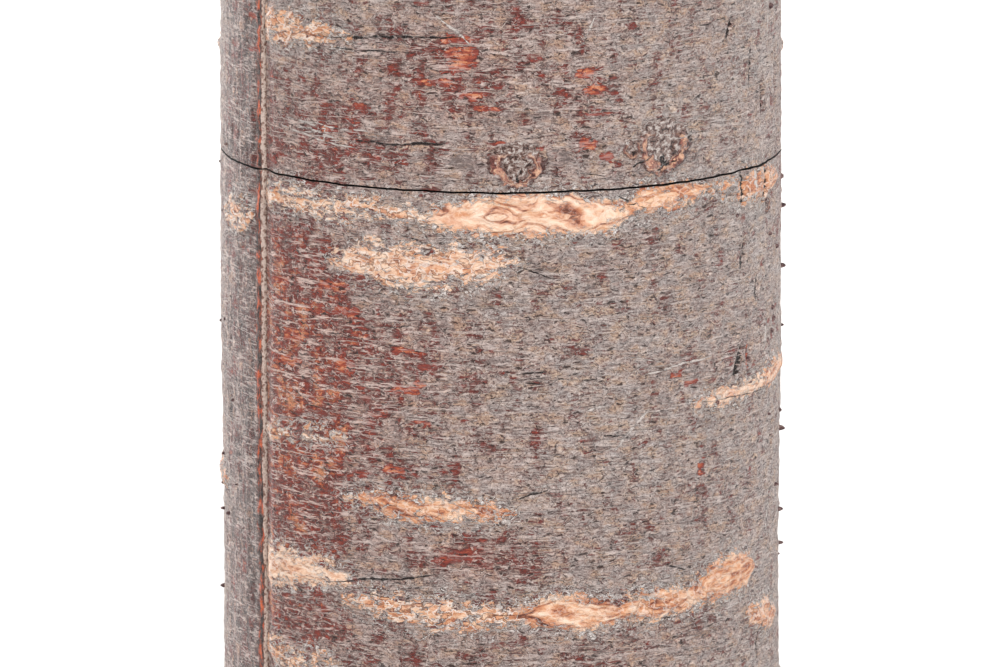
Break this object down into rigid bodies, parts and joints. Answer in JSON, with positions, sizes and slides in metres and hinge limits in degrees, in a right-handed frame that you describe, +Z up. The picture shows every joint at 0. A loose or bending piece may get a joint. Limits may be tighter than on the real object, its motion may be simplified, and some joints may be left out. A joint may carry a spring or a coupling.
{
  "type": "bark-covered wood log canister",
  "caption": "Upright log-shaped wooden canister wrapped in rough cherry bark, with end-grain top and base and a close-fitting lift-off lid.",
  "frame": {"origin": "middle of the underside of the bottom disc, on the surface the canister stands on", "axes": "+Z up along the canister's round axis, from the base to the lid; -Y towards the front, from where the upright bark seam shows 58 degrees round to the left (-X) side"},
  "size_m": [0.08, 0.08, 0.124],
  "materials": {
    "bark": "rough grey-brown cherry bark with cream corky lenticels",
    "end_grain": "sawn and sanded cherry end grain with growth rings",
    "veneer": "plain pale cherry, fine sanded"
  },
  "bodies": {
    "root": {"bottom_disc": "end_grain", "body_tube": "veneer", "liner_tube": "veneer", "body_bark": "bark", "top_disc": "end_grain", "lid_tube": "veneer", "lid_bark": "bark"}
  },
  "joints": []
}
